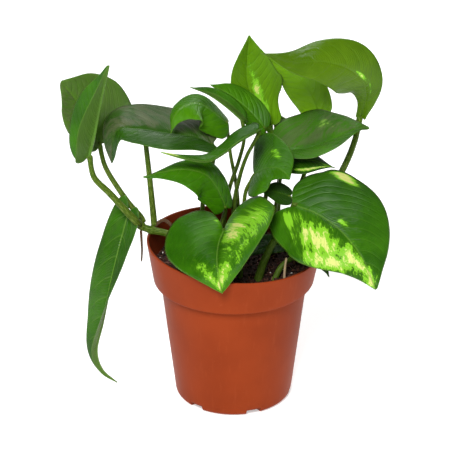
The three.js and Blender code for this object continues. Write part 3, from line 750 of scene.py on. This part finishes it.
# Three stalks grow from the vine's node, and these are their last places inside it.
REACH = {"left_back": (-54.5, 5, 110.5), "left_folded": (-57, 1.5, 112), "hanging": (-57, 3, 110.5)}
print("stalks described:", len(STALKS), "and other stems:", len(STEMS))

# %% [markdown]
# The rod's mesh is rings round the path. The rings keep one side turned the same way as far as
# they can, so the groove runs straight along the stalk and the skin isn't twisted.

# %% A stalk's mesh
RING_STEP = 1.1       # mm between two rings
FEWEST_STEPS = 12
SIDES = 20            # points in a ring
DENT = .18            # depth of the groove, as a share of the radius
DENT_WIDTH = .42      # radians
CAP = .8              # mm over which an end of the rod rounds off


def stem_piece(name, path, radius, knobs=()):
    """Rings round the path. A ring's radius runs from the first value to the second, less a
    dent on one side for the groove, plus a swelling at each knob (place, size, length)."""
    steps = max(FEWEST_STEPS, int(even(path, np.array([0.0]))[1] / RING_STEP))
    s = np.linspace(0, 1, steps + 1)
    t, length = even(path, s)
    centre = curve(path, t)
    forward = heading(path, t)
    side = np.zeros_like(centre)
    pointer = np.array([0, 1.0, 0]) if abs(forward[0][1]) < .9 else np.array([1.0, 0, 0])
    for k in range(steps + 1):
        pointer = pointer - (pointer @ forward[k]) * forward[k]
        pointer = pointer / np.linalg.norm(pointer)
        side[k] = pointer
    other = np.cross(forward, side)
    angle = np.linspace(0, 2 * np.pi, SIDES, endpoint=False)
    along = radius[0] + (radius[1] - radius[0]) * s
    for place, size, spread in knobs:
        along = along + size * np.exp(-((s - place) * length / spread) ** 2)
    cap = np.sqrt(np.clip(1 - np.clip(1 - np.minimum(s, 1 - s) * length / CAP, 0, 1) ** 2, .02, 1))
    ring = 1 - DENT * np.exp(-((angle - 1.5 * np.pi) / DENT_WIDTH) ** 2) + .03 * np.cos(5 * angle)
    r = (along * cap)[:, None] * ring
    points = centre[:, None] + r[..., None] * (np.cos(angle)[:, None] * side[:, None]
                                               + np.sin(angle)[:, None] * other[:, None])
    first = np.repeat(centre[:1, None], SIDES, 1)
    last = np.repeat(centre[-1:, None], SIDES, 1)
    points = np.concatenate([first, points, last])
    rows = points.shape[0]
    faces = grid_faces(rows, SIDES, closed=True)
    run = np.repeat(np.concatenate([s[:1], s, s[-1:]])[:, None], SIDES, 1)
    turn = np.repeat(angle[None] / (2 * np.pi), rows, 0)
    uv = np.stack([(run * length / 100).ravel(), turn.ravel()], -1)
    skin = points.reshape(-1, 3) * MM
    return make_piece(name, skin, outward(skin, faces), {"run": run.ravel()}, uv)


print("points in a ring:", SIDES)

# %% [markdown]
# A stalk is duller than a blade and paler toward its foot, with fine lines along it. The dry
# sheaths and the root take the same finish in papery and brown tones.

# %% Stalk finish


def stalk_finish(name, top, foot, stripe, rough=.42):
    """Green that pales toward the foot, with fine lines along the stalk and small scars."""
    s = Shader(name)
    uv = s.add("ShaderNodeUVMap", {"uv_map": "surface"})
    length = s.add("ShaderNodeSeparateXYZ", None, {0: uv}, output=0)
    turn = s.add("ShaderNodeSeparateXYZ", None, {0: uv}, output=1)
    colour = s.mix(s.attribute("run"), top, foot)
    lines = s.noise(s.vector(length * 14, turn * 9, 0), 2.5, 3)
    colour = s.mix(lines.step(.45, .62) * .8, colour, stripe)
    patch = s.noise(s.place(), 160, 3)
    colour = s.mix(patch.step(.55, .75) * .4, colour, foot)
    s.bump(lines * .6 + patch * .5, .0003)
    return s.finish(Base_Color=colour, Roughness=patch * .15 + (rough - .08), Subsurface_Weight=.15,
                    Subsurface_Radius=(.6, 1.0, .25), Subsurface_Scale=.0015, Specular_IOR_Level=.08)


green_stalk = stalk_finish("stalk_green", (.034, .084, .002), (.052, .088, .006), (.140, .195, .030))
# A darker copy of the stalk finish: painted shade for stalks under wide leaves.
painted_shade_stalk = stalk_finish("stalk_shaded", (.032, .072, .003), (.056, .095, .009), (.090, .145, .018))
dry_sheath = stalk_finish("sheath_dry", (.42, .30, .17), (.30, .20, .11), (.60, .48, .32), .75)
brown_root = stalk_finish("root_brown", (.075, .038, .020), (.050, .026, .014), (.14, .08, .045), .8)
print("stalk finishes:", [m.name for m in (green_stalk, painted_shade_stalk, dry_sheath, brown_root)])

# %% [markdown]
# Where a stalk meets its blade the two are one tissue. Each stalk therefore starts a little way
# inside the ridge under the rib, and the joint shows no gap. Stalks under wide leaves get a
# darker copy of the stalk finish, which is painted shade.

# %% Stalks and other stems
STEM_FINISH = {"air_root": brown_root, "sheath_stick": dry_sheath, "sheath_node": brown_root}
# Stalks under wide leaves, which get the painted shade finish.
SHADED = ("front_right", "edge_on", "right_under", "small_right", "front_left")
JOINT_KNOB = (.04, .25, 3)
VINE_KNOBS = [(.12, .5, 1.6), (.55, .4, 1.5)]


def blade_end(leaf):
    """A stalk's two first places: in the ridge just past the joint, and just before it."""
    joint = np.array(leaf["rib"][0], float)
    forward = heading(leaf["rib"], np.array([0.0]))[0]
    up = unit(np.array(leaf["up"][0], float))
    up = unit(up - (up @ forward) * forward)
    return [tuple(joint + forward * 1.5 - up * .7), tuple(joint - forward * .8 - up * 1.1)]


for name, stalk in STALKS.items():
    path = [*blade_end(LEAVES[name]), *stalk["path"]]
    if name in REACH:
        path.append(REACH[name])
    piece = stem_piece("stem_" + name, path, stalk["radius"], [JOINT_KNOB])
    settle(piece, painted_shade_stalk if name in SHADED else green_stalk, "stalk_green", "stalk_" + name)
for name, stem in STEMS.items():
    knobs = VINE_KNOBS if name == "runner_vine" else ()
    piece = stem_piece("stem_" + name, stem["path"], stem["radius"], knobs)
    settle(piece, STEM_FINISH.get(name, green_stalk), slots[name], name)
print("stalks and stems made:", len(STALKS) + len(STEMS))

# %% [markdown]
# The pot is one thin moulding. Turned on a lathe it is a profile carried round the axis: out
# along the underside, round the corner, up the tapering wall, out over the step of the rim
# band, over the lip, and down the inside to the floor. Six drain notches cut the corner away.

# %% Pot
# Lengths in millimetres, angles in degrees.
RIM_RADIUS = 52.5
BAND_BOTTOM = 77.5
BAND_RADIUS = 48.8
NECK_RADIUS = 44.5
BASE_RADIUS = 35.7
POT_HEIGHT = 100
WALL = 1.3
POT_FLOOR = 2.0
RIM_SAG = .06         # how far the rim tips down for each mm toward +X
POT_SIDES = 180
PROFILE_STEP = 2.2
NOTCHES = 6
NOTCH_APART = 360 / NOTCHES
NOTCH_FIRST = -70
NOTCH_WIDTH = 9
NOTCH_HEIGHT = 3.2
NOTCH_INSIDE = 31.2
NOTCH_EDGE = .5


def corner(points, at, radius, steps=5):
    """Rounds the profile's corner number at with an arc-like blend of the two sides."""
    a, b, c = (np.array(points[k], float) for k in (at - 1, at, at + 1))
    start = b + unit(a - b) * radius
    end = b + unit(c - b) * radius
    t = np.linspace(0, 1, steps)[:, None]
    return (1 - t) ** 2 * start + 2 * t * (1 - t) * b + t**2 * end


def rounded(points, radii):
    """The profile with every inner point rounded by its own radius."""
    parts = [np.array(points[:1], float)]
    for k in range(1, len(points) - 1):
        parts.append(corner(points, k, radii[k - 1]))
    parts.append(np.array(points[-1:], float))
    return np.vstack(parts)


def pot_piece():
    """Profile times angle. Inside a notch's width the bottom corner is drawn up and in."""
    shell = rounded(
        [(0, 0), (BASE_RADIUS, 0), (NECK_RADIUS, BAND_BOTTOM - .8), (BAND_RADIUS - .1, BAND_BOTTOM),
         (RIM_RADIUS, POT_HEIGHT), (RIM_RADIUS - WALL - .2, POT_HEIGHT),
         (BAND_RADIUS - WALL, BAND_BOTTOM + 2.4), (NECK_RADIUS - WALL, BAND_BOTTOM + .6),
         (BASE_RADIUS - WALL, POT_FLOOR), (0, POT_FLOOR)],
        [2.6, .7, .5, .7, .7, .6, .6, 1.5])
    pieces = []
    for a, b in zip(shell[:-1], shell[1:]):
        n = max(1, int(np.linalg.norm(b - a) / PROFILE_STEP))
        pieces.append(a + (b - a) * np.linspace(0, 1, n, endpoint=False)[:, None])
    profile = np.vstack([*pieces, shell[-1:]])
    outer = np.arange(len(profile)) < np.argmax(profile[:, 1])
    low = outer & (profile[:, 1] < NOTCH_HEIGHT + .3) & (profile[:, 0] > NOTCH_INSIDE - 2)
    path = [(NOTCH_INSIDE - .4, 0), (NOTCH_INSIDE, .6), (NOTCH_INSIDE, NOTCH_HEIGHT - .5),
            (NOTCH_INSIDE + .5, NOTCH_HEIGHT), (BASE_RADIUS + .3, NOTCH_HEIGHT + .15)]
    cut = profile.copy()
    k = np.linspace(0, 1, low.sum())
    cut[low] = curve(path, even(path, k)[0])
    half = math.degrees(NOTCH_WIDTH / 2 / BASE_RADIUS)
    angles = set(np.linspace(0, 360, POT_SIDES, endpoint=False))
    for n in range(NOTCHES):
        middle = NOTCH_FIRST + NOTCH_APART * n
        for side in (-1, 1):
            angles.update((middle + side * np.array([half - .5, half - .2, half + .2, half + .5])) % 360)
    angles = np.array(sorted(angles))
    away = np.abs((angles - NOTCH_FIRST + NOTCH_APART / 2) % NOTCH_APART - NOTCH_APART / 2)
    inside = np.clip((half + NOTCH_EDGE / 2 - away) / NOTCH_EDGE, 0, 1)[None, :, None]
    shape = profile[:, None] * (1 - inside) + cut[:, None] * inside
    a = np.radians(angles)
    x = shape[..., 0] * np.cos(a)
    y = shape[..., 0] * np.sin(a)
    height = np.clip((shape[..., 1] - BAND_BOTTOM) / (POT_HEIGHT - BAND_BOTTOM), 0, 1)
    z = shape[..., 1] - RIM_SAG * x * height
    points = np.stack([x, y, z], -1).reshape(-1, 3) * MM
    # Faces inside the notches, which the finish paints nearly black as painted shade.
    painted_notch_shade = (inside[..., 0] * low[:, None] * (shape[..., 0] < BASE_RADIUS - 1)).ravel()
    faces = outward(points, grid_faces(len(profile), len(angles), closed=True))
    # Points on the inside wall, which the finish darkens as painted shade.
    inner = np.repeat((~outer)[:, None], len(angles), 1).ravel()
    return make_piece("nursery_pot", points, faces, {"painted_notch_shade": painted_notch_shade, "inner": inner})


def pot_finish():
    """Terracotta-coloured polypropylene: satin, faintly clouded, with a fine moulded grain."""
    s = Shader("pot_plastic")
    where = s.place()
    cloud = s.noise(where, 28, 3)
    grain = s.noise(where, 900, 2)
    scuff = s.noise(s.add("ShaderNodeMapping", None, {"Vector": where, "Scale": (1, 1, .12)}), 420, 3)
    dust = s.noise(where, 320, 4, .7)
    colour = s.mix(cloud.step(.3, .7), (.225, .033, .0075), (.262, .040, .009))
    colour = s.mix(scuff.step(.58, .72) * .22, colour, (.31, .060, .018))
    colour = s.mix(dust.step(.66, .74) * .25, colour, (.40, .12, .05))
    # Painted shade: the inside wall is darkened.
    colour = s.mix(s.attribute("inner") * .6, colour, (.13, .022, .007))
    # Painted shade: the notch faces are painted nearly black, like the dark inside an opening.
    colour = s.mix(s.attribute("painted_notch_shade"), colour, (.03, .012, .008))
    s.bump(grain * .5 + scuff * .5, .00006)
    return s.finish(Base_Color=colour, Roughness=cloud * .12 + .38, Specular_IOR_Level=.04,
                    Subsurface_Weight=.04, Subsurface_Scale=.002)


settle(pot_piece(), pot_finish(), "pot_plastic", "pot")

# %% [markdown]
# Potting mix is crumbs of dark peat with fibres and a few white grains of perlite. The bed is
# a lumpy disc that closes into a plug inside the pot.

# %% Soil bed
# Lengths in millimetres.
SOIL_TOP = 88
SOIL_RADIUS = 47.6
SOIL_RINGS = 90
SOIL_SIDES = 200
PLUG_RADII = [47.2, 42.6, 34.0, 0]
PLUG_DEPTHS = [-8, -11.5, -85.2, -85.4]
DIRECTIONS = 5
rng = np.random.default_rng(7)


def bumps(x, y, waves):
    """A sum of plane waves with random directions: an endless lumpy ground."""
    height = np.zeros_like(x)
    for size, amount in waves:
        for _ in range(DIRECTIONS):
            angle, phase = rng.uniform(0, 2 * np.pi, 2)
            along = x * np.cos(angle) + y * np.sin(angle)
            height += amount / DIRECTIONS * np.sin(along * 2 * np.pi / size + phase)
    return height


def soil_bed():
    """Rings of a disc lifted by the lumpy ground, then the plug's side and bottom rings."""
    r = np.concatenate([np.linspace(0, SOIL_RADIUS, SOIL_RINGS), PLUG_RADII])
    depth = np.concatenate([np.zeros(SOIL_RINGS), PLUG_DEPTHS])
    a = np.linspace(0, 2 * np.pi, SOIL_SIDES, endpoint=False)
    x = r[:, None] * np.cos(a)
    y = r[:, None] * np.sin(a)
    lumps = bumps(x, y, [(31, 1.1), (13, .9), (6.1, .9), (3.3, .7), (1.9, .35)])
    ground = np.where(np.arange(len(r)) < SOIL_RINGS, 1.0, 0)[:, None]
    z = SOIL_TOP + depth[:, None] + ground * (lumps - (r[:, None] / SOIL_RADIUS) ** 6 * 1.2)
    points = np.stack([x, y, z], -1).reshape(-1, 3) * MM
    faces = grid_faces(len(r), SOIL_SIDES, closed=True)
    return make_piece("soil_bed", points, outward(points, faces))


bed = soil_bed()
print("faces in the soil bed:", len(bed.data.polygons))

# %% [markdown]
# Crumbs, fibres and grains lie loose on the bed. Each one is a small lump of twenty faces, an
# icosahedron with its corners moved, and each kind is one mesh.

# %% Crumbs, fibres and grains
CRUMBS = 900
FIBRES = 260
GRAINS = 30
LITTER_RADIUS = 46.5
CORNERS = 12
GOLDEN = (1 + 5**.5) / 2
LUMP = unit(np.array([(-1, GOLDEN, 0), (1, GOLDEN, 0), (-1, -GOLDEN, 0), (1, -GOLDEN, 0),
                      (0, -1, GOLDEN), (0, 1, GOLDEN), (0, -1, -GOLDEN), (0, 1, -GOLDEN),
                      (GOLDEN, 0, -1), (GOLDEN, 0, 1), (-GOLDEN, 0, -1), (-GOLDEN, 0, 1)]))
LUMP_FACES = np.array([(0, 11, 5), (0, 5, 1), (0, 1, 7), (0, 7, 10), (0, 10, 11), (1, 5, 9), (5, 11, 4),
                       (11, 10, 2), (10, 7, 6), (7, 1, 8), (3, 9, 4), (3, 4, 2), (3, 2, 6), (3, 6, 8),
                       (3, 8, 9), (4, 9, 5), (2, 4, 11), (6, 2, 10), (8, 6, 7), (9, 8, 1)])


def scatter(count):
    """Places spread evenly over the soil: the radius goes with the square root of a random
    share, since a ring's area grows with its radius."""
    r = LITTER_RADIUS * np.sqrt(rng.uniform(0, 1, count))
    a = rng.uniform(0, 2 * np.pi, count)
    return r * np.cos(a), r * np.sin(a)


def lumps_piece(name, count, sizes, squash, spread=.35, slender=1.0):
    """Copies of one twenty-faced lump, each stretched, dented and turned in its own way."""
    x, y = scatter(count)
    size = rng.uniform(*sizes, (count, 1, 1))
    shape = LUMP[None] * size * rng.uniform(1 - spread, 1 + spread, (count, CORNERS, 1))
    shape = shape * rng.uniform(.7, 1.2, (count, 1, 3)) * np.array([slender, 1, squash])
    turn = rng.uniform(0, 2 * np.pi, (count, 1))
    sx = shape[..., 0] * np.cos(turn) - shape[..., 1] * np.sin(turn)
    sy = shape[..., 0] * np.sin(turn) + shape[..., 1] * np.cos(turn)
    z = SOIL_TOP + rng.uniform(-.2, 1.0, (count, 1)) + shape[..., 2]
    points = np.stack([x[:, None] + sx, y[:, None] + sy, z], -1).reshape(-1, 3) * MM
    faces = (LUMP_FACES[None] + CORNERS * np.arange(count)[:, None, None]).reshape(-1, 3)
    shade = np.repeat(rng.uniform(0, 1, count), CORNERS)
    return make_piece(name, points, faces, {"shade": shade})


crumbs = lumps_piece("peat_crumbs", CRUMBS, (.5, 1.5), .7)
fibres = lumps_piece("peat_fibres", FIBRES, (.18, .3), .8, .2, 14)
grains = lumps_piece("perlite_grains", GRAINS, (.4, .9), .85)
print("crumbs, fibres and grains:", CRUMBS + FIBRES + GRAINS)

# %% [markdown]
# Peat is dark and matt, the fibres are paler, and perlite is nearly white. All of them share
# one finish, in which each crumb's own shade and some noise choose between two tones.

# %% Soil finish


def earth_finish(name, dark, light, rough=.9, bump=.0006):
    """Dark to light by each crumb's own shade and by noise, with a coarse crumbly bump."""
    s = Shader(name)
    where = s.place()
    crumb = s.noise(where, 700, 4, .65)
    speck = s.noise(where, 1900, 2)
    tone = s.attribute("shade") * .5 + crumb.step(.35, .75) * .6
    colour = s.mix(tone.step(0, 1), dark, light)
    s.bump(crumb + speck * .5, bump)
    return s.finish(Base_Color=colour, Roughness=speck * .2 + (rough - .1), Specular_IOR_Level=.25)


peat = earth_finish("peat", (.014, .005, .003), (.075, .026, .015))
crumb_peat = earth_finish("peat_crumbs", (.016, .006, .0035), (.100, .036, .021))
fibre = earth_finish("fibre", (.085, .035, .022), (.22, .11, .075), .85, .0003)
perlite = earth_finish("perlite", (.62, .58, .54), (.90, .88, .85), .8, .0004)
settle(bed, peat, "soil", "soil")
settle(crumbs, crumb_peat, "soil")
settle(fibres, fibre, "soil")
settle(grains, perlite, "soil")
print("soil finishes:", [piece.data.materials[0].name for piece in (bed, crumbs, fibres, grains)])

# %% [markdown]
# The floor is a large plain sheet, pale and matt, and isn't part of the object. It glows a
# little, so that it stays an even white round the pot.

# %% Floor
FLOOR_REACH = 4.0     # m, from the middle to each side
FLOOR_DROP = .0004    # m, so that the pot's underside and the floor aren't in one plane
FLOOR_GLOW = .45
floor_corners = [(x * FLOOR_REACH, y * FLOOR_REACH, 0) for x, y in ((-1, -1), (1, -1), (1, 1), (-1, 1))]
floor_mesh = bpy.data.meshes.new("floor")
floor_mesh.from_pydata(floor_corners, [], [(0, 1, 2, 3)])
floor = bpy.data.objects.new("floor", floor_mesh)
bpy.context.scene.collection.objects.link(floor)
paper = Shader("floor_paper")
sheet = paper.finish(Base_Color=(.90, .90, .90, 1), Roughness=.9, Emission_Color=(1, 1, 1, 1),
                     Emission_Strength=FLOOR_GLOW)
floor_mesh.materials.append(sheet)
floor.location = (0, 0, -FLOOR_DROP)
print("floor sides in metres:", 2 * FLOOR_REACH)
